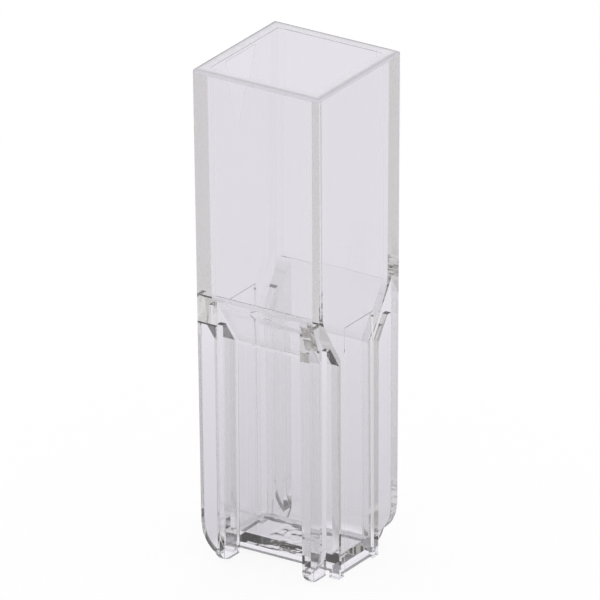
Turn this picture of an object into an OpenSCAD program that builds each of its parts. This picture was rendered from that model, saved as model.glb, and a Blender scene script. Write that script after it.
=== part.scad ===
// Semi-micro laboratory cuvette, moulded in one piece from clear polystyrene.
// A square filling tube narrows into a slim measuring chamber, and four
// L-shaped corner wings keep the outside square for the cell holder.
// Z is up, the light path runs along X, the origin is the middle of the base.

/* [Tube] */
// Overall height
height = 45; // [40:0.5:50]
// Outside width across the rim, both ways
rim_w = 12.5; // [12:0.05:13]
// Outside width across the base, both ways
base_w = 11.9; // [11.6:0.05:12.4]
// Thickness of the two walls that the light passes, at the rim
wall_x = 1.05; // [0.7:0.05:1.25]
// Thickness of the other two walls, at the rim
wall_y = 1; // [0.7:0.05:1.25]
// Width cut off the outside upright corners
corner = 0.1; // [0.05:0.05:0.4]
// Width cut off the tube's inside upright corners
inner_corner = 0.2; // [0.1:0.05:0.8]

/* [Measuring chamber] */
// Inside length along X, the light path
path_len = 10; // [9.5:0.05:10]
// Inside width along Y
chamber_w = 4.4; // [4.1:0.05:5]
// Thickness of the chamber's side walls
chamber_wall = 0.85; // [0.6:0.05:1]
// Height of the chamber's floor, inside
floor_z = 1.95; // [1.7:0.05:3]
// Thickness of the floor
floor_t = 1; // [0.6:0.05:1.2]

/* [Shoulder] */
// Height at which the outside slope meets the chamber's side wall
shoulder_z = 19.65; // [17:0.05:21]
// Angle of the slope from level
shoulder_angle = 56; // [50:1:60]
// Thickness of the sloping wall
shoulder_wall = 0.75; // [0.6:0.05:1.1]
// Radius of the hollow where the slope meets the chamber's side wall
root_r = 0.4; // [0.2:0.05:0.8]
// Radius of the edge where the slope meets the outside face
brow_r = 1; // [0.3:0.1:1.5]
// Radius of the hollow where the tube turns into the funnel
funnel_r = 2.5; // [1:0.1:3.5]
// Radius of the edge where the funnel turns into the chamber
throat_r = 0.5; // [0.2:0.05:1]
// Height at which the side grooves end
groove_top_z = 21.65; // [21:0.05:22.5]

/* [Corner wings] */
// Clear width between two wings, at the chamber's wall
wing_gap = 8.1; // [7.8:0.05:8.6]
// How much each wing leans back over its depth, so that the gap opens outwards
wing_flare = 0.1; // [0:0.05:0.3]
// Thickness of the wing's web, which joins it to the chamber
web_t = 0.6; // [0.5:0.05:0.7]
// Thickness of the wing's outer plate
plate_t = 1; // [0.8:0.05:1.3]
// Height of the web's foot
web_foot_z = 0.1; // [0.05:0.05:0.4]
// Distance from the middle at which the web's foot starts to curve up
web_foot_y = 4.3; // [3.8:0.05:4.8]
// Radius of that curve
web_foot_r = 1.8; // [1.7:0.05:3]
// Height of the plate's foot
plate_foot_z = 1.2; // [1:0.05:1.6]
// Height at which the plate's side starts to curve in
plate_round_z = 3.6; // [3:0.05:5]
// Radius of that curve
plate_round_r = 3; // [2.4:0.05:3.5]

/* [Windows] */
// Width of the polished window
window_w = 4.4; // [4:0.05:4.8]
// Height of the window's top edge
window_top_z = 22.8; // [22:0.1:24]
// Depth of the recess that protects the window
window_depth = 0.2; // [0.1:0.05:0.25]

/* [Base] */
// Height of the skirt's edge under the two windows
skirt_x_z = 0.3; // [0.25:0.05:0.4]
// Height of the skirt's edge under the chamber's side walls
skirt_y_z = 0.6; // [0.4:0.05:0.7]
// Length of each corner foot along X
foot_len = 1; // [0.7:0.05:1.2]
// Width of each corner foot along Y
foot_w = 0.8; // [0.5:0.05:0.8]

/* [Arrow mark] */
// Width of the arrow mark at its top
mark_w = 4.6; // [3:0.1:5]
// Height of the arrow mark
mark_h = 6.7; // [5:0.1:8]
// Distance from the rim to the top of the mark
mark_drop = 0.6; // [0.4:0.1:3]
// Depth of the mark in the wall
mark_depth = 0.1; // [0.05:0.05:0.2]

/* [Hidden] */
$fn = 64;
clear_plastic = [0.86, 0.85, 0.89, 0.45];
// Overlap that lets a cut pass right through a face
eps = 0.01;
// How far a cut runs on past the rim or the base
over = 1;
// A length past every outside face
past = rim_w;
// Growth of the outside, each side, from base to rim
draft = (rim_w - base_w) / 2;
// Half of the tube's inside at the rim
bore_x = rim_w / 2 - wall_x;
bore_y = rim_w / 2 - wall_y;
// Growth of the tube's inside, each side, from the funnel's foot to the rim
bore_draft = bore_x - path_len / 2;
// Half width of the block round the chamber
block_y = chamber_w / 2 + chamber_wall;
// Rise of the slope for each millimetre outwards
slope = tan(shoulder_angle);
// Height of the inside slope above the outside one, straight up
funnel_lift = shoulder_wall / cos(shoulder_angle);
// Height at which the funnel meets the chamber
funnel_z = shoulder_z + (chamber_w / 2 - block_y) * slope + funnel_lift;
// Distance from the middle to the web's far side
web_out = wing_gap / 2 + web_t;

// Directions, in Y and Z, up the slope and up the drafted outside and inside faces
up_slope = [cos(shoulder_angle), sin(shoulder_angle)];
up_outside = [draft, height] / norm([draft, height]);
up_inside = [bore_draft, height - funnel_z] / norm([bore_draft, height - funnel_z]);

// Half width of the outside at height z
function half_out(z) = base_w / 2 + draft * z / height;
// Height of the outside slope at distance y from the middle
function shoulder_at(y) = shoulder_z + (y - block_y) * slope;
// Where the line from p in direction u meets the line from q in direction v
function meeting(p, u, q, v) = p + u * cross(q - p, v) / cross(u, v);

// The place where the outside slope comes out of the side face
brow = meeting([base_w / 2, 0], up_outside, [block_y, shoulder_z], up_slope);
// The place where the tube's inside meets the funnel
funnel_top = meeting(
    [bore_y - bore_draft, funnel_z], up_inside, [chamber_w / 2, funnel_z], up_slope
);

// What a round of radius r takes from the corner at c, whose sides run in directions u and v
module corner_fill(c, u, v, r) {
    half_angle = acos(u * v) / 2;
    reach = r / tan(half_angle);
    middle = c + (u + v) / norm(u + v) * r / sin(half_angle);
    difference() {
        polygon([c, c + u * reach, middle, c + v * reach]);
        translate(middle)
            circle(r);
    }
}

// Upright four-sided bar that grows by the same draft on every side, with its corners cut off
module drafted_bar(half_x, half_y, grow, h, cut_off) {
    reach = half_x + half_y;
    module between(half, spread) {
        rotate([90, 0, 0])
            linear_extrude(2 * reach, center = true)
                polygon([[-half, 0], [half, 0], [half + spread, h], [-half - spread, h]]);
    }
    intersection() {
        between(half_x, grow);
        rotate([0, 0, 90])
            between(half_y, grow);
        for (turn = [45, -45])
            rotate([0, 0, turn])
                between((reach - cut_off) / sqrt(2), grow * sqrt(2));
    }
}

// Extrudes a profile drawn in Y and Z along X, between two distances
module along_x(from, to) {
    translate([from, 0, 0])
        rotate([90, 0, 90])
            linear_extrude(to - from)
                children();
}

// Extrudes a profile drawn in X and Z along Y, between two distances
module along_y(from, to) {
    translate([0, to, 0])
        rotate([90, 0, 0])
            linear_extrude(to - from)
                children();
}

// Repeats its children in all four quarters
module four_quarters() {
    for (sx = [0, 1], sy = [0, 1])
        mirror([sx, 0, 0])
            mirror([0, sy, 0])
                children();
}

// What rounds the edge between the slope and the side face, and the air outside it
module brow_round() {
    half_angle = acos(-up_outside * up_slope) / 2;
    top = brow + up_outside * brow_r / tan(half_angle);
    corner_fill(brow, up_outside, -up_slope, brow_r);
    polygon([brow, top, top + [(top[1] - brow[1]) / slope, 0]]);
}

// The gap between two wings, with its sloping roof under the tube
module wing_gap_cut() {
    mouth = half_out(0) + draft + eps;
    near = wing_gap / 2;
    far = near + wing_flare * (past - block_y) / (mouth - block_y);
    intersection() {
        translate([0, 0, -eps])
            linear_extrude(height)
                polygon([[-near, block_y], [near, block_y], [far, past], [-far, past]]);
        along_x(-past, past) {
            difference() {
                polygon([
                    [block_y, -over], [past, -over],
                    [past, shoulder_at(past)], [block_y, shoulder_z]
                ]);
                corner_fill([block_y, shoulder_z], [0, -1], up_slope, root_r);
            }
            brow_round();
        }
    }
}

// The groove between the block and one wing's plate, open to the side
module side_groove_cut() {
    plate_in = base_w / 2 - plate_t;
    along_x(web_out, past)
        polygon([
            [block_y, -over], [plate_in, -over],
            [plate_in, groove_top_z],
            [block_y + (groove_top_z - shoulder_z) / slope, groove_top_z],
            [block_y, shoulder_z]
        ]);
}

// Material under the plate's foot and outside its round lower corner
module plate_foot_cut() {
    side = base_w / 2;
    cx = side - plate_round_r;
    along_y(base_w / 2 - plate_t, past)
        difference() {
            translate([web_out, -over])
                square([past, plate_round_z + over]);
            intersection() {
                union() {
                    translate([cx, plate_round_z])
                        circle(plate_round_r);
                    square([max(cx, eps), plate_round_z]);
                }
                translate([0, plate_foot_z])
                    square([side, plate_round_z]);
            }
        }
}

// Material under the web's foot and its curve
module web_foot_cut() {
    cz = web_foot_z + web_foot_r;
    along_x(wing_gap / 2 - eps, web_out)
        difference() {
            translate([block_y, -over])
                square([past, cz + over]);
            translate([web_foot_y, cz])
                circle(web_foot_r);
            translate([block_y - eps, web_foot_z])
                square([web_foot_y - block_y + eps, web_foot_r]);
        }
}

// Inside of the tube, its funnel and the measuring chamber
module bore() {
    top = height + over;
    rim_y = bore_y + bore_draft * over / (height - funnel_z);
    rim_x = bore_x + bore_draft * over / (height - funnel_z);
    intersection() {
        along_x(-past, past)
            for (side = [0, 1])
                mirror([side, 0])
                    bore_profile(rim_y, top);
        along_y(-past, past)
            polygon([
                [path_len / 2, floor_z], [path_len / 2, funnel_z], [rim_x, top],
                [-rim_x, top], [-path_len / 2, funnel_z], [-path_len / 2, floor_z]
            ]);
        drafted_bar(bore_x - bore_draft, bore_y - bore_draft, bore_draft, top, inner_corner);
    }
}

// One half of the inside, seen along X
module bore_profile(rim_y, top) {
    difference() {
        polygon([
            [-eps, floor_z], [chamber_w / 2, floor_z], [chamber_w / 2, funnel_z],
            funnel_top, [rim_y, top], [-eps, top]
        ]);
        corner_fill(funnel_top, up_inside, -up_slope, funnel_r);
    }
    corner_fill([chamber_w / 2, funnel_z], [0, -1], up_slope, throat_r);
}

// Shallow recess that keeps each window clear of scratches
module window_cut() {
    along_x(half_out(window_top_z) - window_depth, past)
        translate([-window_w / 2, -over])
            square([window_w, window_top_z + over]);
}

// Hollow under the chamber's floor, with the four small feet left standing
module base_cut() {
    inner_x = path_len / 2;
    inner_y = chamber_w / 2;
    under = floor_z - floor_t;
    translate([-inner_x, -inner_y, -over])
        cube([2 * inner_x, 2 * inner_y, under + over]);
    foot_x = half_out(0) - foot_len;
    foot_y = block_y - foot_w;
    translate([-foot_x, -block_y - eps, -over])
        cube([2 * foot_x, 2 * (block_y + eps), skirt_y_z + over]);
    translate([-past, -foot_y, -over])
        cube([2 * past, 2 * foot_y, skirt_x_z + over]);
}

// Arrow mark on one wall, pointing down
module arrow_cut() {
    top = height - mark_drop;
    along_x(-past, mark_depth - half_out(top - mark_h / 2))
        polygon([[-mark_w / 2, top], [mark_w / 2, top], [0, top - mark_h]]);
}

module cuvette_body() {
    color(clear_plastic)
        difference() {
            drafted_bar(base_w / 2, base_w / 2, draft, height, corner);
            bore();
            for (sy = [0, 1])
                mirror([0, sy, 0])
                    wing_gap_cut();
            four_quarters() {
                side_groove_cut();
                plate_foot_cut();
                web_foot_cut();
            }
            for (sx = [0, 1])
                mirror([sx, 0, 0])
                    window_cut();
            base_cut();
            arrow_cut();
        }
}

cuvette_body();
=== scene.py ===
"""Clear moulded laboratory cuvette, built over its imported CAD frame."""

import math

import bmesh
import bpy
from mathutils import Matrix, Vector, noise


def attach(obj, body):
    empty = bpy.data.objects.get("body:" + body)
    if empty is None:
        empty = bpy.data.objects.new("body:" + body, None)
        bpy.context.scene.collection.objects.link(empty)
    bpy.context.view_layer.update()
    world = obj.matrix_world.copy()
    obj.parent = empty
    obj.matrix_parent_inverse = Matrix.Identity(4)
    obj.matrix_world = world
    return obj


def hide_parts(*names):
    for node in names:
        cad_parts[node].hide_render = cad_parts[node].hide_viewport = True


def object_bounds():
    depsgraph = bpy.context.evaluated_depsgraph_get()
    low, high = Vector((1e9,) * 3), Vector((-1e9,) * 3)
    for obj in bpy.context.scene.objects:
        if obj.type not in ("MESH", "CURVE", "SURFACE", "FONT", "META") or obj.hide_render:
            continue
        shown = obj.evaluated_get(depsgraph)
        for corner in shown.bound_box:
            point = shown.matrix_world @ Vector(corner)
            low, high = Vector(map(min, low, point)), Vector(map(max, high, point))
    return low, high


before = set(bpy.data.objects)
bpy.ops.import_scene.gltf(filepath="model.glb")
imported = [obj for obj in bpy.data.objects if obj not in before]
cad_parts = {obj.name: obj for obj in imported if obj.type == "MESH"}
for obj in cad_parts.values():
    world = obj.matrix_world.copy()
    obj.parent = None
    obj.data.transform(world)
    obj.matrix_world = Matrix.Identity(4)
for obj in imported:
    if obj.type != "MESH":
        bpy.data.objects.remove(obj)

CAD_LOW, CAD_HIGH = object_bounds()

bl_info = {
    "name": "Clear cuvette",
    "version": (1, 0, 0),
    "blender": (4, 5, 0),
    "location": "3D View > Sidebar > Cuvette",
    "description": "Builds a clear moulded cuvette on a white bench",
    "category": "Add Mesh",
}

MM = 0.001
BODY = "root"
CAD_NODE = "cuvette_body"
AXES = {"X": 0, "Y": 1, "Z": 2}
# In millimetres: a distance past every outside face, how far a cut runs on past the rim
# or the base, and how closely two lengths agree
PAST = 15.0
OVER = 1.0
SLACK = 0.02
# Turn of an edge that counts as none, that gets a round and that shades sharp
FLAT = math.radians(0.05)
ROUNDED = math.radians(22)
SHARP = math.radians(32)
# Distances in millimetres at which corners are joined, before and after the rounds
WELD = 0.002
FINE_WELD = 0.001
# Steps round each small edge, and cells in the uneven roof under the floor
EDGE_STEPS = 3
ROOF_CELLS = (72, 32)


def length(name, description, millimetres):
    """A size in the sidebar, kept in metres."""
    return bpy.props.FloatProperty(
        name=name, description=description, default=millimetres * MM, min=0.0,
        subtype="DISTANCE", unit="LENGTH", precision=5,
    )


class CuvetteSizes(bpy.types.PropertyGroup):
    """Sizes of the moulding."""

    height: length("Height", "Overall height", (CAD_HIGH.z - CAD_LOW.z) / MM)
    rim_width: length("Rim width", "Outside width across the rim", (CAD_HIGH.x - CAD_LOW.x) / MM)
    base_width: length("Base width", "Outside width across the base", 11.9)
    wall_x: length("Window wall", "Thickness of the two walls that the light passes", 1.05)
    wall_y: length("Side wall", "Thickness of the other two walls", 1.0)
    path: length("Light path", "Inside length of the measuring chamber", 10.0)
    chamber_width: length("Chamber width", "Inside width of the measuring chamber", 4.4)
    chamber_wall: length("Chamber wall", "Thickness of the chamber's side walls", 0.85)
    floor_top: length("Floor height", "Height of the chamber's floor", 1.95)
    floor_thickness: length("Floor thickness", "Thickness of the chamber's floor", 1.0)
    shoulder_foot: length("Shoulder foot", "Height where the slope leaves the chamber", 19.65)
    shoulder_wall: length("Shoulder wall", "Thickness of the sloping wall", 0.75)
    root_round: length("Shoulder root", "Hollow where the slope meets the chamber", 0.9)
    brow_round: length("Shoulder brow", "Round where the slope meets the tube", 1.0)
    funnel_round: length("Funnel round", "Hollow where the tube turns into the funnel", 2.5)
    throat_round: length("Throat round", "Edge where the funnel turns into the chamber", 0.9)
    groove_top: length("Groove end", "Height at which the side grooves end", 21.65)
    wing_gap: length("Wing gap", "Clear width between two wings", 8.1)
    wing_flare: length("Wing flare", "How much each wing leans back", 0.1)
    web: length("Web", "Thickness of the wing's web", 0.6)
    plate: length("Plate", "Thickness of the wing's outer plate", 1.0)
    web_foot: length("Web foot", "Height of the web's foot", 0.1)
    web_foot_start: length("Web foot start", "Where the web's foot starts to curve up", 4.3)
    web_foot_round: length("Web foot round", "Radius of the web's foot", 1.8)
    plate_foot: length("Plate foot", "Height of the plate's foot", 1.2)
    plate_bend: length("Plate bend", "Height where the plate's side curves in", 3.6)
    plate_round: length("Plate round", "Radius of the plate's lower corner", 3.0)
    window_width: length("Window width", "Width of the polished window", 4.4)
    window_top: length("Window top", "Height of the window's top edge", 22.8)
    window_depth: length("Window depth", "Depth of the recess round the window", 0.2)
    skirt_x: length("Window skirt", "Height of the skirt under the windows", 0.3)
    skirt_y: length("Side skirt", "Height of the skirt under the side walls", 0.6)
    foot_length: length("Foot length", "Length of each corner foot", 1.0)
    foot_width: length("Foot width", "Width of each corner foot", 0.8)
    mark_width: length("Arrow width", "Width of the arrow mark", 4.6)
    mark_height: length("Arrow height", "Height of the arrow mark", 6.7)
    mark_drop: length("Arrow drop", "Distance from the rim to the arrow mark", 0.6)
    mark_depth: length("Arrow depth", "Depth of the arrow mark", 0.03)
    crease: length("Crease", "Distance from the middle to the crease inside the tube", 4.6)
    crease_depth: length("Crease depth", "Depth of the step at the crease", 0.09)
    relief: length("Relief", "Height of the bumps under the floor", 0.05)
    relief_grain: length("Relief grain", "Size of the bumps under the floor", 0.6)
    relief_length: length("Relief length", "Length of the uneven part under the floor", 5.0)
    relief_width: length("Relief width", "Width of the uneven part under the floor", 4.2)
    relief_fade: length("Relief fade", "Strip over which the bumps die away", 0.5)
    gate: length("Gate mark", "Radius of the round mark under the floor", 1.2)
    rim_round: length("Rim round", "Round on the rim's outer edge", 0.12)
    mouth_round: length("Mouth round", "Round on the rim's inner edge", 0.05)
    edge_round: length("Edge round", "Round on the feet, the chamber and the wings", 0.05)
    shoulder_angle: bpy.props.FloatProperty(
        name="Shoulder angle", description="Angle of the slope from level",
        default=math.radians(56), subtype="ANGLE", unit="ROTATION",
    )


class CuvetteFinish(bpy.types.PropertyGroup):
    """Colours of the plastic and the bench."""

    tint: bpy.props.FloatVectorProperty(
        name="Tint", description="Colour of the clear polystyrene",
        default=(0.965, 0.96, 0.965), size=3, subtype="COLOR", min=0, max=1,
    )
    depth_tint: bpy.props.FloatVectorProperty(
        name="Depth tint", description="Colour that thick plastic takes",
        default=(0.71, 0.69, 0.645), size=3, subtype="COLOR", min=0, max=1,
    )
    bench: bpy.props.FloatVectorProperty(
        name="Bench", description="Colour of the bench and backdrop",
        default=(0.826, 0.817, 0.866), size=3, subtype="COLOR", min=0, max=1,
    )


class Sheet:
    """The sizes in millimetres, with the heights and slopes that follow from them."""

    def __init__(self, sizes):
        for name in sizes.bl_rna.properties.keys():
            if name not in ("rna_type", "name", "shoulder_angle"):
                setattr(self, name, getattr(sizes, name) / MM)
        self.slope = math.tan(sizes.shoulder_angle)
        self.draft = (self.rim_width - self.base_width) / 2
        self.block = self.chamber_width / 2 + self.chamber_wall
        lift = self.shoulder_wall / math.cos(sizes.shoulder_angle)
        self.throat = self.shoulder_foot - self.chamber_wall * self.slope + lift
        self.web_out = self.wing_gap / 2 + self.web
        turn = (self.inside(self.wall_y, self.throat) - self.chamber_width / 2) * self.slope
        lean = (self.rim_width / 2 - self.wall_x - self.path / 2) / (self.height - self.throat)
        self.funnel = self.throat + turn / (1 - lean * self.slope)

    def outside(self, z):
        """Half width of the outside at height z."""
        return self.base_width / 2 + self.draft * z / self.height

    def inside(self, wall, z):
        """Half width of the tube's inside at height z, for a wall of that thickness."""
        rise = (z - self.throat) / (self.height - self.throat)
        growth = self.rim_width / 2 - self.wall_x - self.path / 2
        return self.rim_width / 2 - wall - growth * (1 - rise)

    def shoulder_at(self, y):
        """Height of the outside slope at distance y from the middle."""
        return self.shoulder_foot + (y - self.block) * self.slope


# Solid shapes, all in millimetres until the moulding is finished


def prism(outline, axis, low, high):
    """A solid bar along one axis. The outline's points are in the two other axes."""
    bm = bmesh.new()
    along = AXES[axis]
    others = [a for a in range(3) if a != along]
    corners = []
    for point in outline:
        place = Vector()
        place[others[0]], place[others[1]] = point
        place[along] = low
        corners.append(bm.verts.new(place))
    face = bm.faces.new(corners)
    made = bmesh.ops.extrude_face_region(bm, geom=[face])
    step = Vector()
    step[along] = high - low
    new = [v for v in made["geom"] if isinstance(v, bmesh.types.BMVert)]
    bmesh.ops.translate(bm, vec=step, verts=new)
    bmesh.ops.recalc_face_normals(bm, faces=bm.faces)
    return bm


def box(low, high):
    """A plain block between two corners."""
    bm = bmesh.new()
    bmesh.ops.create_cube(bm, size=1)
    low, high = Vector(low), Vector(high)
    size = Matrix.Diagonal(high - low).to_4x4()
    bmesh.ops.transform(bm, matrix=Matrix.Translation((low + high) / 2) @ size, verts=bm.verts)
    return bm


def round_edges(bm, test, radius, segments):
    """Rounds the edges whose middle passes the test, to a radius."""
    for edge in [e for e in bm.edges if test(e)]:
        if not edge.is_valid:
            continue
        turn = abs(edge.calc_face_angle())
        bmesh.ops.bevel(
            bm, geom=[edge], offset=radius * math.tan(turn / 2), offset_type="OFFSET",
            segments=segments, profile=0.5, affect="EDGES", material=-1,
        )


def middle(edge):
    """The middle of an edge."""
    return (edge.verts[0].co + edge.verts[1].co) / 2


def near(value, target):
    """Whether two lengths agree."""
    return abs(value - target) < SLACK


def level_along(edge, z):
    """Whether an edge lies at height z and crosses the middle plane."""
    return all(near(vert.co.z, z) for vert in edge.verts) and near(middle(edge).x, 0)


def mirrored(make, *axes):
    """The solid that make() gives and its mirror images across each axis."""
    solids = [make()]
    for axis in axes:
        for done in list(solids):
            twin = done.copy()
            flip = Vector((1, 1, 1))
            flip[AXES[axis]] = -1
            bmesh.ops.scale(twin, vec=flip, verts=twin.verts)
            bmesh.ops.recalc_face_normals(twin, faces=twin.faces)
            solids.append(twin)
    return solids


def as_object(bm, name):
    """A new object that holds a solid."""
    mesh = bpy.data.meshes.new(name)
    bm.to_mesh(mesh)
    bm.free()
    obj = bpy.data.objects.new(name, mesh)
    bpy.context.scene.collection.objects.link(obj)
    return obj


def settle(body):
    """Turns the body's modifiers into mesh."""
    graph = bpy.context.evaluated_depsgraph_get()
    result = bpy.data.meshes.new_from_object(body.evaluated_get(graph))
    body.modifiers.clear()
    old, body.data = body.data, result
    bpy.data.meshes.remove(old)


def carve(body, solids):
    """Cuts solids out of the body, one after another."""
    for solid in solids:
        tool = as_object(solid, "cutter")
        cut = body.modifiers.new("cut", "BOOLEAN")
        cut.operation = "DIFFERENCE"
        cut.solver = "EXACT"
        cut.object = tool
        settle(body)
        bpy.data.meshes.remove(tool.data)
        if not body.data.polygons:
            raise RuntimeError("a cut left nothing of the cuvette")


# The parts of the mould


def blank(s):
    """The drafted outside of the moulding."""
    half = s.base_width / 2
    bm = box((-half, -half, 0), (half, half, s.height))
    for vert in bm.verts:
        if vert.co.z > s.height / 2:
            vert.co.x = math.copysign(s.rim_width / 2, vert.co.x)
            vert.co.y = math.copysign(s.rim_width / 2, vert.co.y)
    return bm


def tube_core(s):
    """The inside: filling tube, funnel and measuring chamber."""
    top = s.height + OVER
    half = s.chamber_width / 2
    funnel = s.inside(s.wall_y, s.funnel) - s.crease_depth
    mouth = s.inside(s.wall_y, top) - s.crease_depth
    outline = [
        (-half, s.floor_top), (half, s.floor_top), (half, s.throat), (funnel, s.funnel),
        (mouth, top), (-mouth, top), (-funnel, s.funnel), (-half, s.throat),
    ]
    bm = prism(outline, "X", -s.path / 2, s.path / 2)
    everything = [*bm.verts, *bm.edges, *bm.faces]
    bmesh.ops.bisect_plane(bm, geom=everything, plane_co=(0, 0, s.throat), plane_no=(0, 0, 1))
    for vert in bm.verts:
        if vert.co.z > s.throat:
            vert.co.x = math.copysign(s.inside(s.wall_x, vert.co.z), vert.co.x)
    round_edges(bm, lambda e: level_along(e, s.funnel), s.funnel_round, segments=12)
    round_edges(
        bm, lambda e: level_along(e, s.throat) and abs(middle(e).y) > half / 2,
        s.throat_round, segments=4,
    )
    return bm


def crease_core(s):
    """The middle of the tube's inside, a little deeper than its corner strips.

    It starts within the hollow where the tube turns into the funnel.
    """
    low, top = s.funnel + s.funnel_round / 5, s.height + OVER
    outline = [
        (-s.inside(s.wall_y, low), low), (s.inside(s.wall_y, low), low),
        (s.inside(s.wall_y, top), top), (-s.inside(s.wall_y, top), top),
    ]
    return prism(outline, "X", -s.crease, s.crease)


def wing_gap(s):
    """The gap between two wings, with its sloping roof under the tube."""
    leave = s.outside(0) + s.draft
    brow_z = s.shoulder_at(s.outside(s.shoulder_at(leave)))
    brow_y = s.block + (brow_z - s.shoulder_foot) / s.slope
    top = brow_z + s.brow_round
    past_brow = brow_y + 0.03
    outline = [
        (s.block, -OVER), (PAST, -OVER), (PAST, top), (past_brow, top),
        (brow_y, brow_z), (s.block, s.shoulder_foot),
    ]
    edge = s.wing_gap / 2
    bm = prism(outline, "X", -edge, edge)
    round_edges(bm, lambda e: level_along(e, brow_z), s.brow_round, segments=8)
    round_edges(bm, lambda e: level_along(e, s.shoulder_foot), s.root_round, segments=3)
    for vert in bm.verts:
        lean = s.wing_flare * (vert.co.y - s.block) / (leave - s.block)
        vert.co.x += math.copysign(lean, vert.co.x)
    return bm


def side_groove(s):
    """The groove between the chamber's block and one wing's plate."""
    inner = s.base_width / 2 - s.plate
    ledge = s.block + (s.groove_top - s.shoulder_foot) / s.slope
    outline = [
        (s.block, -OVER), (inner, -OVER), (inner, s.groove_top), (ledge, s.groove_top),
        (s.block, s.shoulder_foot),
    ]
    return prism(outline, "X", s.web_out, PAST)


def plate_foot(s):
    """What is cut away under the plate's foot and outside its round lower corner."""
    side = s.base_width / 2
    low = s.plate_bend - s.plate_round
    start = s.web_out - s.plate_round
    outline = [
        (start, -OVER), (PAST, -OVER), (PAST, s.plate_bend), (side, s.plate_bend),
        (side, low), (start, low),
    ]
    bm = prism(outline, "Y", side - s.plate, PAST)
    round_edges(
        bm, lambda e: near(middle(e).x, side) and near(middle(e).z, low),
        s.plate_round, segments=16,
    )
    everything = [*bm.verts, *bm.edges, *bm.faces]
    cut = bmesh.ops.bisect_plane(
        bm, geom=everything, plane_co=(s.web_out, 0, 0), plane_no=(-1, 0, 0), clear_outer=True
    )
    rim = [e for e in cut["geom_cut"] if isinstance(e, bmesh.types.BMEdge)]
    bmesh.ops.holes_fill(bm, edges=rim)
    return bm


def plate_sole(s):
    """The flat underside of the plate's foot."""
    return box((s.web_out, s.base_width / 2 - s.plate, -OVER), (PAST, PAST, s.plate_foot))


def web_sole(s):
    """What is cut away under the web's foot and its curve."""
    out = s.web_foot_start + s.web_foot_round
    top = s.web_foot + s.web_foot_round
    outline = [
        (s.block, -OVER), (PAST, -OVER), (PAST, top), (out, top), (out, s.web_foot),
        (s.block, s.web_foot),
    ]
    bm = prism(outline, "X", s.wing_gap / 2 - 2 * s.wing_flare, s.web_out)
    round_edges(
        bm, lambda e: near(middle(e).y, out) and near(middle(e).z, s.web_foot),
        s.web_foot_round, segments=12,
    )
    return bm


def window_recess(s):
    """The shallow recess that keeps a window clear of scratches."""
    half = s.window_width / 2
    return box((s.outside(s.window_top) - s.window_depth, -half, -OVER), (PAST, half, s.window_top))


def rough_hollow(s):
    """The hollow under the floor, whose roof is uneven round the gate mark."""
    half_x, half_y = s.path / 2, s.chamber_width / 2
    roof = s.floor_top - s.floor_thickness
    bm = bmesh.new()
    along, across = ROOF_CELLS
    bmesh.ops.create_grid(bm, x_segments=along, y_segments=across, size=1)
    bmesh.ops.scale(bm, vec=(half_x, half_y, 1), verts=bm.verts)
    for vert in bm.verts:
        x, y = vert.co.xy
        vert.co.z = roof
        margin = min(s.relief_length / 2 - abs(x), s.relief_width / 2 - abs(y))
        fade = min(max(margin / s.relief_fade, 0), 1)
        vert.co.z += fade * s.relief * noise.noise(vert.co / s.relief_grain)
        if math.hypot(x, y) < s.gate:
            vert.co.z += s.relief
    made = bmesh.ops.extrude_face_region(bm, geom=list(bm.faces))
    for vert in [v for v in made["geom"] if isinstance(v, bmesh.types.BMVert)]:
        vert.co.z = -OVER
    bmesh.ops.recalc_face_normals(bm, faces=bm.faces)
    return bm


def base_hollow(s):
    """The gaps between the corner feet."""
    foot_x = s.outside(0) - s.foot_length
    foot_y = s.block - s.foot_width
    return [
        box((-foot_x, -s.block, -OVER), (foot_x, s.block, s.skirt_y)),
        box((-PAST, -foot_y, -OVER), (PAST, foot_y, s.skirt_x)),
    ]


def arrow(s):
    """The shallow arrow mark on one wall, pointing down."""
    top = s.height - s.mark_drop
    half = s.mark_width / 2
    depth = s.outside(top - s.mark_height / 2) - s.mark_depth
    return prism([(-half, top), (half, top), (0, top - s.mark_height)], "X", -PAST, -depth)


class Socket:
    """A shader value that takes part in Python arithmetic."""

    def __init__(self, tree, out):
        self.tree, self.out = tree, out

    def _math(self, operation, *values):
        return self.tree.node("ShaderNodeMath", {"operation": operation}, *values)

    def __add__(self, other):
        return self._math("ADD", self, other)

    def __mul__(self, other):
        return self._math("MULTIPLY", self, other)

    def __abs__(self):
        return self._math("ABSOLUTE", self)

    def __sub__(self, other):
        return self._math("SUBTRACT", self, other)

    def __rsub__(self, other):
        return self._math("SUBTRACT", other, self)

    __radd__, __rmul__ = __add__, __mul__

    def at_least(self, other):
        """The larger of two values."""
        return self._math("MAXIMUM", self, other)


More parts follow.
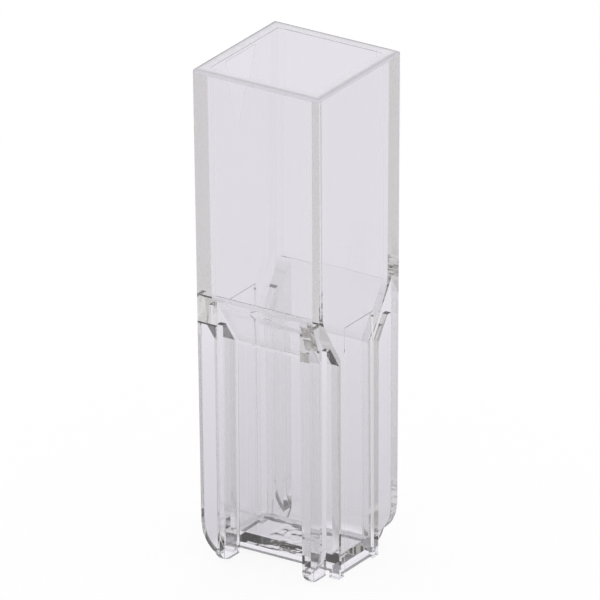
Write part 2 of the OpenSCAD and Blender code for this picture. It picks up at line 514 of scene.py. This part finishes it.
class Shader:
    """A node tree that is written as expressions."""

    def __init__(self, owner):
        owner.use_nodes = True
        self.nodes, self.links = owner.node_tree.nodes, owner.node_tree.links
        self.nodes.clear()

    def node(self, kind, settings=None, *values, out=0, **named):
        """Adds a node, sets it up, feeds its sockets and gives one output."""
        made = self.nodes.new(kind)
        for key, value in (settings or {}).items():
            setattr(made, key, value)
        for key, value in [*enumerate(values), *named.items()]:
            slot = made.inputs[key.replace("_", " ") if isinstance(key, str) else key]
            if isinstance(value, Socket):
                self.links.new(value.out, slot)
            elif value is not None:
                slot.default_value = value
        return Socket(self, made.outputs[out]) if made.outputs else made

    def rise(self, value, start, end):
        """A share that goes from 0 to 1 while a value goes from start to end."""
        return self.node("ShaderNodeMapRange", None, value, start, end)

    def parts(self, vector):
        """The three parts of a vector."""
        split = self.node("ShaderNodeSeparateXYZ", None, vector).out.node
        return [Socket(self, out) for out in split.outputs]

    def mix(self, share, *colours):
        """A colour between two others."""
        unused = [None] * 5
        return self.node("ShaderNodeMix", {"data_type": "RGBA"}, share, *unused, *colours, out=2)

    def in_plastic(self):
        """1 on a ray that the plastic bends or mirrors, else 0."""
        glossy = self.node("ShaderNodeLightPath", out="Is Glossy Ray")
        return glossy + self.node("ShaderNodeLightPath", out="Is Transmission Ray")

    def ramp(self, share, stops, tint=(1, 1, 1)):
        """Levels of one tint that change along a share from 0 to 1."""
        made = self.node("ShaderNodeValToRGB", None, share)
        elements = made.out.node.color_ramp.elements
        elements.remove(elements[0])
        elements[0].position = stops[0][0]
        for place, level in stops:
            stop = elements[0] if place == stops[0][0] else elements.new(place)
            stop.color = (*(level * part for part in tint), 1)
        return made


# Finish of the plastic: how light bends in it and fades in it, and how rough it is
INDEX = 1.59
FADING = 66.0
GLOSS = 0.03
MATT = 0.98
# Ripples that the mould leaves: how many to the metre, how fine, how strong and how high
RIPPLES = 180.0
RIPPLE_DETAIL = 2.0
RIPPLE_STRENGTH = 0.02
RIPPLE_HEIGHT = 1 * MM
# Which faces are matt: how level they are, how low, and how near to the height of the
# window's top edge. Each pair goes from none of the finish to all of it
LEVEL = (0.7, 0.8)
SOLE = (0.7 * MM, 0.65 * MM)
STEP = (0.12 * MM, 0.1 * MM)
# The rim: its matt share, its roughness and its shine
RIM_SATIN = 0.85
RIM_ROUGHNESS = 0.5
RIM_SHINE = 0.2
# Distance below the top at which the rim's outer strip and its upper face start, how
# level that face is, and how fast the strip ends inwards
RIM_STRIP = (0.4 * MM, 0.3 * MM)
RIM_FACE = (0.3 * MM, 0.2 * MM)
RIM_LEVEL = (0.6, 0.8)
STRIP_END = 3 * MM
# Painted shade on the rim: its grey at each share of its reach in from the outer edge, on the
# two front sides and on the two back sides, with a painted dark line along the outer edge
# that is darker on the back sides, then its tint and where the front turns into the back
RIM_REACH = 1.1 * MM
RIM_FRONT_PAINTED_SHADE = ((0.0, 0.72), (0.1, 0.68), (0.2, 0.72), (0.35, 0.85), (0.5, 0.93), (1.0, 0.93))
RIM_BACK_PAINTED_SHADE = ((0.0, 0.5), (0.02, 0.42), (0.12, 0.42), (0.24, 0.78), (0.5, 0.93), (1.0, 0.93))
RIM_TINT = (0.965, 0.95, 1.0)
BACK_SHADE_TURN = (0.0, 1 * MM)
# The arrow mark: how soft its sides and its top are, and how far in from the wall it is
MARK_SIDES = 0.1 * MM
MARK_TOP = 0.02 * MM
MARK_WALL = (0.5 * MM, 0.3 * MM)
WHITE = (1, 1, 1, 1)


def polystyrene(finish, s):
    """Clear glossy polystyrene, faintly hazed and uneven from the mould, with painted shade on the
    rim.
    """
    material = bpy.data.materials.new("clear_polystyrene")
    t = Shader(material)
    where = t.node("ShaderNodeTexCoord", out="Object")
    x, y, z = t.parts(where)
    ripple = t.node(
        "ShaderNodeTexNoise", None, Vector=where, Scale=RIPPLES, Detail=RIPPLE_DETAIL
    )
    bump = t.node(
        "ShaderNodeBump", None, Strength=RIPPLE_STRENGTH, Distance=RIPPLE_HEIGHT, Height=ripple
    )
    level = abs(t.parts(t.node("ShaderNodeNewGeometry", out="Normal"))[AXES["Z"]])
    step = t.rise(abs(z - s.window_top * MM), *STEP)
    on_matt = t.rise(level, *LEVEL) * t.rise(z, *SOLE).at_least(step)
    edge = s.rim_width / 2 * MM
    clear = t.node(
        "ShaderNodeBsdfPrincipled", None, IOR=INDEX, Transmission_Weight=1.0, Normal=bump,
        Base_Color=t.mix(arrow_mask(t, s, edge), (*finish.tint, 1), WHITE),
        Roughness=on_matt * (MATT - GLOSS) + GLOSS,
    )
    inward = t.rise(abs(x).at_least(abs(y)), edge, edge - RIM_REACH)
    # The rim's satin has painted shade in its colour: grey darker along the outer edge, and darker
    # on the back sides than on the front
    satin_with_painted_shade = t.node(
        "ShaderNodeBsdfPrincipled", None, Roughness=RIM_ROUGHNESS,
        Specular_IOR_Level=RIM_SHINE,
        Base_Color=t.mix(
            t.rise(y - x, *BACK_SHADE_TURN),
            t.ramp(inward, RIM_FRONT_PAINTED_SHADE, RIM_TINT), t.ramp(inward, RIM_BACK_PAINTED_SHADE, RIM_TINT),
        ),
    )
    top = s.height * MM
    strip = t.rise(z - inward * STRIP_END, *(top - depth for depth in RIM_STRIP))
    face = t.rise(level, *RIM_LEVEL) * t.rise(z, *(top - depth for depth in RIM_FACE))
    on_rim = strip.at_least(face) * RIM_SATIN
    shader = t.node("ShaderNodeMixShader", None, on_rim, clear, satin_with_painted_shade)
    depth = t.node(
        "ShaderNodeVolumeAbsorption", None, Color=(*finish.depth_tint, 1), Density=FADING
    )
    t.node("ShaderNodeOutputMaterial", None, Surface=shader, Volume=depth)
    return material


def arrow_mask(t, s, edge):
    """1 on the arrow mark, which is clearer than the wall round it, else 0."""
    x, y, z = t.parts(t.node("ShaderNodeTexCoord", out="Object"))
    top = (s.height - s.mark_drop) * MM
    tip = top - s.mark_height * MM
    steep = 2 * s.mark_height / s.mark_width
    sides = t.rise(z - abs(y) * steep, tip, tip + MARK_SIDES)
    below = t.rise(z, top, top - MARK_TOP)
    return sides * below * t.rise(x, *(margin - edge for margin in MARK_WALL))


# Share of the bench that glows: evenly to the eye, and with a painted shadow and pool of light as
# the plastic shows it
EYE_SHARE = 0.9
PLASTIC_SHARE = 0.75
# Painted pool of light under the cuvette and painted shadow round it, on the bench as the plastic
# shows it: how light it looks from the middle out to a distance in metres
PAINTED_SHADOW_REACH = 0.06
PAINTED_POOL_AND_SHADOW = (
    (0.0, 1.1), (0.11, 1.1), (0.13, 0.8), (0.25, 0.85), (0.5, 0.9), (0.7, 0.935), (0.85, 1.0)
)


def bench_material(finish):
    """White bench: plain white to the eye, and pale paper with a painted pool of light under the
    cuvette and a painted shadow round it as the plastic shows it.
    """
    material = bpy.data.materials.new("white_bench")
    t = Shader(material)
    where = t.node("ShaderNodeTexCoord", out="Object")
    away = t.node("ShaderNodeVectorMath", {"operation": "LENGTH"}, where, out="Value")
    # Painted light and shade on the bench: a bright pool under the cuvette, and a shadow round it
    # that fades outwards
    painted_pool_and_shadow = t.ramp(t.rise(away, 0.0, PAINTED_SHADOW_REACH), PAINTED_POOL_AND_SHADOW, finish.bench)
    paper = t.node("ShaderNodeBsdfDiffuse", None, Color=(*finish.bench, 1))
    pale_with_painted_shadow = t.node("ShaderNodeEmission", None, painted_pool_and_shadow, 1.0)
    white_paper = t.node("ShaderNodeBsdfDiffuse", None, Color=WHITE)
    white = t.node("ShaderNodeEmission", None, Color=WHITE, Strength=1.0)
    share = t.in_plastic() * PLASTIC_SHARE
    shown = t.node("ShaderNodeMixShader", None, share, paper, pale_with_painted_shadow)
    open_bench = t.node("ShaderNodeMixShader", None, EYE_SHARE, white_paper, white)
    eye = t.node("ShaderNodeLightPath", out="Is Camera Ray")
    surface = t.node("ShaderNodeMixShader", None, eye, shown, open_bench)
    t.node("ShaderNodeOutputMaterial", None, Surface=surface)
    return material


# Brightness of the studio at each share of the way from straight down to straight up
STUDIO_BACK = ((0.5, 1.0), (0.53, 0.06), (0.75, 0.06), (1.0, 0.4))
STUDIO_FRONT = ((0.5, 1.0), (0.53, 0.5), (1.0, 0.5))
# The way to the dark wall behind the bench, and where front turns into back along it
BACK_WALL = (-0.548, 0.836, 0.0)
BACK_TURN = (-0.3, 0.1)


def studio_world():
    """White for the eye, plain light for matt surfaces, a dim studio for the plastic."""
    world = bpy.data.worlds.new("studio")
    bpy.context.scene.world = world
    t = Shader(world)
    where = t.node("ShaderNodeTexCoord", out="Generated")
    height = t.parts(where)[AXES["Z"]]
    share = t.rise(height, -1.0, 1.0)
    front = t.node("ShaderNodeBackground", None, t.ramp(share, STUDIO_FRONT), 1.0)
    back = t.node("ShaderNodeBackground", None, t.ramp(share, STUDIO_BACK), 1.0)
    backward = t.node(
        "ShaderNodeVectorMath", {"operation": "DOT_PRODUCT"}, where, BACK_WALL, out="Value"
    )
    dome = t.node("ShaderNodeMixShader", None, t.rise(backward, *BACK_TURN), front, back)
    after_matt = t.node("ShaderNodeLightPath", out="Diffuse Depth")
    plain = (1 - t.in_plastic()).at_least(after_matt)
    white = t.node("ShaderNodeBackground", None, WHITE, 1.0)
    both = t.node("ShaderNodeMixShader", None, plain, dome, white)
    t.node("ShaderNodeOutputWorld", None, Surface=both)


class CUVETTE_OT_body(bpy.types.Operator):
    """Build the one-piece clear cuvette"""

    bl_idname = "cuvette.body"
    bl_label = "Build cuvette"

    def execute(self, context):
        s = Sheet(context.scene.cuvette_sizes)
        body = as_object(blank(s), "cuvette")
        carve(body, [tube_core(s), crease_core(s)])
        carve(body, mirrored(lambda: wing_gap(s), "Y"))
        for quarter in (side_groove, plate_foot, plate_sole, web_sole):
            carve(body, mirrored(lambda: quarter(s), "X", "Y"))
        carve(body, mirrored(lambda: window_recess(s), "X"))
        carve(body, [*base_hollow(s), rough_hollow(s)])
        carve(body, [arrow(s)])
        finish_moulding(body, s)
        body.data.materials.append(polystyrene(context.scene.cuvette_finish, s))
        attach(body, BODY)
        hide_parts(CAD_NODE)
        return {"FINISHED"}


def round_of(edge, s):
    """The round that an edge of the moulding gets."""
    spot = middle(edge)
    across = max(abs(spot.x), abs(spot.y))
    if all(near(v.co.z, s.height) for v in edge.verts):
        return s.rim_round if across > (s.rim_width - s.wall_y) / 2 else s.mouth_round
    beside_window = abs(spot.y) < s.window_width / 2 + SLACK and spot.z > s.floor_top
    on_window = abs(spot.x) > (s.path + s.wall_x) / 2 and beside_window
    in_tube = spot.z > s.shoulder_foot - s.root_round
    within = abs(spot.x) < s.path / 2 + SLACK and abs(spot.y) < s.chamber_width / 2 + SLACK
    return 0 if on_window or in_tube or within else s.edge_round


def finish_moulding(body, s):
    """Rounds the edges of the carved mesh, tidies it and brings it to metres."""
    bm = bmesh.new()
    bm.from_mesh(body.data)
    bmesh.ops.remove_doubles(bm, verts=bm.verts, dist=WELD)
    bmesh.ops.dissolve_limit(bm, angle_limit=FLAT, verts=bm.verts, edges=bm.edges)
    widest = max(s.rim_round, s.mouth_round, s.edge_round)
    weight = bm.edges.layers.float.new("bevel_weight_edge")
    for edge in bm.edges:
        if edge.calc_face_angle() > ROUNDED:
            edge[weight] = round_of(edge, s) / widest
    bm.to_mesh(body.data)
    bm.free()
    edges = body.modifiers.new("round edges", "BEVEL")
    edges.limit_method = "WEIGHT"
    edges.width = widest
    edges.segments = EDGE_STEPS
    edges.use_clamp_overlap = False
    settle(body)
    bm = bmesh.new()
    bm.from_mesh(body.data)
    for vert in bm.verts:
        vert.co.z = max(vert.co.z, 0)
    bmesh.ops.remove_doubles(bm, verts=bm.verts, dist=FINE_WELD)
    bmesh.ops.dissolve_degenerate(bm, edges=bm.edges, dist=FINE_WELD)
    bmesh.ops.scale(bm, vec=(MM, MM, MM), verts=bm.verts)
    for face in bm.faces:
        face.smooth = True
    for edge in bm.edges:
        edge.smooth = edge.calc_face_angle(0) < SHARP
    bm.to_mesh(body.data)
    bm.free()
    even = body.modifiers.new("even shading", "WEIGHTED_NORMAL")
    even.weight = 100
    even.keep_sharp = True


# Distance in metres from the middle of the bench to its edges
BENCH_REACH = 4


class CUVETTE_OT_stage(bpy.types.Operator):
    """Set up the bench, the light and the camera"""

    bl_idname = "cuvette.stage"
    bl_label = "Set the stage"

    def execute(self, context):
        bm = bmesh.new()
        bmesh.ops.create_grid(bm, x_segments=1, y_segments=1, size=BENCH_REACH)
        bench = as_object(bm, "bench")
        bench.data.materials.append(bench_material(context.scene.cuvette_finish))
        studio_world()
        place_camera(context.scene)
        context.scene.view_settings.view_transform = "Standard"
        return {"FINISHED"}


# Where the camera stands, how it is turned and what it looks at
AZIMUTH, ELEVATION, ROLL = (math.radians(angle) for angle in (33.24, 23.36, -0.36))
DISTANCE = 1.6
TARGET = Vector((-0.72, 1.40, 22.5)) * MM
SENSOR = 36.0
LENS = 1142.6
CLIP_NEAR, CLIP_FAR = 0.01, 20
# How often light may turn inside the plastic
BOUNCES = 64


def place_camera(scene):
    """A long lens that looks down at the cuvette from its front corner."""
    back = Vector((
        math.sin(AZIMUTH) * math.cos(ELEVATION), -math.cos(AZIMUTH) * math.cos(ELEVATION),
        math.sin(ELEVATION),
    ))
    level = Vector((math.cos(AZIMUTH), math.sin(AZIMUTH), 0))
    up = back.cross(level)
    right = level * math.cos(ROLL) + up * math.sin(ROLL)
    up = up * math.cos(ROLL) - level * math.sin(ROLL)
    lens = bpy.data.cameras.new("camera")
    lens.sensor_width, lens.lens = SENSOR, LENS
    lens.clip_start, lens.clip_end = CLIP_NEAR, CLIP_FAR
    camera = bpy.data.objects.new("camera", lens)
    scene.collection.objects.link(camera)
    camera.matrix_world = (
        Matrix.Translation(TARGET + back * DISTANCE)
        @ Matrix((right, up, back)).transposed().to_4x4()
    )
    scene.camera = camera
    scene.cycles.max_bounces = BOUNCES
    scene.cycles.transmission_bounces = BOUNCES
    scene.cycles.glossy_bounces = BOUNCES


class CUVETTE_PT_panel(bpy.types.Panel):
    """The cuvette's builders and sizes"""

    bl_idname = "CUVETTE_PT_panel"
    bl_label = "Cuvette"
    bl_space_type = "VIEW_3D"
    bl_region_type = "UI"
    bl_category = "Cuvette"

    def draw(self, context):
        for operator in OPERATORS:
            self.layout.operator(operator.bl_idname)
        for group in (context.scene.cuvette_sizes, context.scene.cuvette_finish):
            column = self.layout.column()
            for name in group.bl_rna.properties.keys():
                if name not in ("rna_type", "name"):
                    column.prop(group, name)


GROUPS = {"cuvette_sizes": CuvetteSizes, "cuvette_finish": CuvetteFinish}
OPERATORS = (CUVETTE_OT_body, CUVETTE_OT_stage)
CLASSES = (*GROUPS.values(), *OPERATORS, CUVETTE_PT_panel)


def register():
    for cls in CLASSES:
        bpy.utils.register_class(cls)
    for name, group in GROUPS.items():
        setattr(bpy.types.Scene, name, bpy.props.PointerProperty(type=group))


def unregister():
    for name in GROUPS:
        delattr(bpy.types.Scene, name)
    for cls in reversed(CLASSES):
        bpy.utils.unregister_class(cls)


def main():
    register()
    bpy.ops.cuvette.body()
    bpy.ops.cuvette.stage()


if __name__ == "__main__":
    main()
